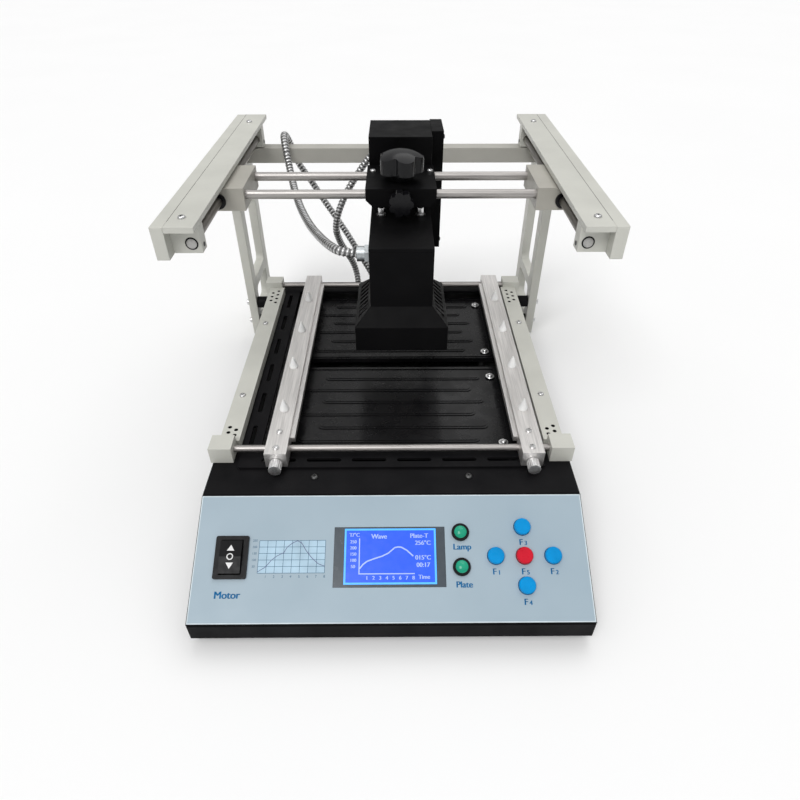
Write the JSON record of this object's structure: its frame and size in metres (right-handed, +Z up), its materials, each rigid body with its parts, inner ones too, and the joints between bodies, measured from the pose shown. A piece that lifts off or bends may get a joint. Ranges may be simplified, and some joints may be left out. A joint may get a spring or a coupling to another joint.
{
  "type": "bga rework station",
  "caption": "Desktop infrared rework station: a preheating base with a board clamp, and an infrared lamp that slides on a rod gantry and lifts.",
  "frame": {"origin": "middle of the footprint over the side frames, on the bench", "axes": "+Z up, +Y from the control panel to the rear, +X to the right seen from the panel"},
  "size_m": [0.358, 0.514, 0.265],
  "materials": {
    "black_steel": "fine textured powder coat",
    "panel_film": "printed satin film",
    "display": "gloss",
    "green_lens": "gloss",
    "black_plastic": "satin moulded",
    "blue_key": "gloss",
    "red_key": "gloss",
    "circuit_board": "satin",
    "galvanised": "satin",
    "enamel": "semi-gloss enamel",
    "grey_paint": "matt grey coat",
    "silver_aluminium": "satin",
    "polished_steel": "ground",
    "bronze": "satin",
    "ceramic": "matt",
    "rubber": "matt",
    "conduit_steel": "spiral wound"
  },
  "bodies": {
    "frame": {"base_tub": "black_steel", "base_cover": "black_steel", "rubber_feet": "rubber", "front_panel": "black_steel", "panel_overlay": "panel_film", "display_module": "display", "lamp_bezels": "black_plastic", "indicator_lenses": "green_lens", "rocker_housing": "black_plastic", "key_board": "circuit_board", "slot_frame": "black_steel", "heat_tray": "galvanised", "front_plate": "enamel", "rear_plate": "enamel", "left_rail": "grey_paint", "right_rail": "grey_paint", "rod_blocks": "grey_paint", "clamp_rods": "polished_steel", "left_side_frame": "grey_paint", "right_side_frame": "grey_paint", "frame_spacers": "black_steel", "back_beam": "grey_paint", "rail_covers": "grey_paint", "rod_end_blocks": "grey_paint", "y_rods": "polished_steel", "control_board": "circuit_board", "transformer": "galvanised", "mains_inlet": "black_plastic", "rear_glands": "silver_aluminium", "lamp_conduit": "conduit_steel", "motor_conduit": "conduit_steel"},
    "gantry": {"y_carriages": "grey_paint", "carriage_bushes": "black_plastic", "x_rods": "polished_steel"},
    "head": {"x_carriage": "black_steel", "motor_box": "black_steel", "lift_motor": "galvanised", "lift_cover": "black_steel", "guide_bushes": "bronze", "motor_gland": "silver_aluminium"},
    "lamp": {"lamp_hood": "black_steel", "lamp_bracket": "black_steel", "guide_rods": "polished_steel", "lamp_emitter": "ceramic", "lamp_gland": "silver_aluminium"},
    "lift_screw": {"lift_screw": "polished_steel"},
    "big_knob": {"big_knob": "black_plastic"},
    "star_knob": {"star_knob": "black_plastic"},
    "left_clamp": {"left_bar": "silver_aluminium", "left_cones": "silver_aluminium"},
    "left_thumb": {"left_thumb_screw": "polished_steel"},
    "right_clamp": {"right_bar": "silver_aluminium", "right_cones": "silver_aluminium"},
    "right_thumb": {"right_thumb_screw": "polished_steel"},
    "rocker": {"rocker": "black_plastic"},
    "key_f1": {"key_f1": "blue_key"},
    "key_f2": {"key_f2": "blue_key"},
    "key_f3": {"key_f3": "blue_key"},
    "key_f4": {"key_f4": "blue_key"},
    "key_f5": {"key_f5": "red_key"}
  },
  "joints": [
    {"name": "gantry_slide", "type": "slide", "parent": "frame", "child": "gantry", "axis": [0, 1, 0], "range_m": [-0.073, 0.055], "deforming": ["lamp_conduit", "motor_conduit"]},
    {"name": "head_slide", "type": "slide", "parent": "gantry", "child": "head", "axis": [1, 0, 0], "range_m": [-0.1, 0.08]},
    {"name": "lamp_lift", "type": "slide", "parent": "head", "child": "lamp", "axis": [0, 0, 1], "range_m": [-0.019, 0.004]},
    {"name": "screw_turn", "type": "hinge", "parent": "head", "child": "lift_screw", "pos_m": [0.009, 0.124, 0.2], "axis": [0, 0, 1], "range_deg": [-860, 185]},
    {"name": "big_knob_turn", "type": "hinge", "parent": "head", "child": "big_knob", "pos_m": [0.009, 0.055, 0.24], "axis": [0, 0, 1], "range_deg": [-180, 180]},
    {"name": "star_knob_turn", "type": "hinge", "parent": "head", "child": "star_knob", "pos_m": [0.009, 0.023, 0.23], "axis": [0, 1, 0], "range_deg": [-180, 180]},
    {"name": "left_clamp_slide", "type": "slide", "parent": "frame", "child": "left_clamp", "axis": [1, 0, 0], "range_m": [-0.026, 0.068]},
    {"name": "left_thumb_turn", "type": "hinge", "parent": "left_clamp", "child": "left_thumb", "pos_m": [-0.0947, -0.148, 0.077], "axis": [0, 1, 0], "range_deg": [-180, 180]},
    {"name": "right_clamp_slide", "type": "slide", "parent": "frame", "child": "right_clamp", "axis": [1, 0, 0], "range_m": [-0.09, 0.0045]},
    {"name": "right_thumb_turn", "type": "hinge", "parent": "right_clamp", "child": "right_thumb", "pos_m": [0.116, -0.148, 0.077], "axis": [0, 1, 0], "range_deg": [-180, 180]},
    {"name": "rocker_tip", "type": "hinge", "parent": "frame", "child": "rocker", "pos_m": [-0.1215, -0.21309, 0.04522], "axis": [1, 0, 0], "range_deg": [-7, 7], "stiffness_Nm_per_rad": 0.15},
    {"name": "key_f1_press", "type": "slide", "parent": "frame", "child": "key_f1", "axis": [0, -0.4555, 0.8902], "range_m": [-0.002, 0], "stiffness_N_per_m": 1200},
    {"name": "key_f2_press", "type": "slide", "parent": "frame", "child": "key_f2", "axis": [0, -0.4555, 0.8902], "range_m": [-0.002, 0], "stiffness_N_per_m": 1200},
    {"name": "key_f3_press", "type": "slide", "parent": "frame", "child": "key_f3", "axis": [0, -0.4555, 0.8902], "range_m": [-0.002, 0], "stiffness_N_per_m": 1200},
    {"name": "key_f4_press", "type": "slide", "parent": "frame", "child": "key_f4", "axis": [0, -0.4555, 0.8902], "range_m": [-0.002, 0], "stiffness_N_per_m": 1200},
    {"name": "key_f5_press", "type": "slide", "parent": "frame", "child": "key_f5", "axis": [0, -0.4555, 0.8902], "range_m": [-0.002, 0], "stiffness_N_per_m": 1200}
  ],
  "couplings": [
    {"joint": "screw_turn", "follows": "lamp_lift", "rad_per_m": 785.4}
  ]
}
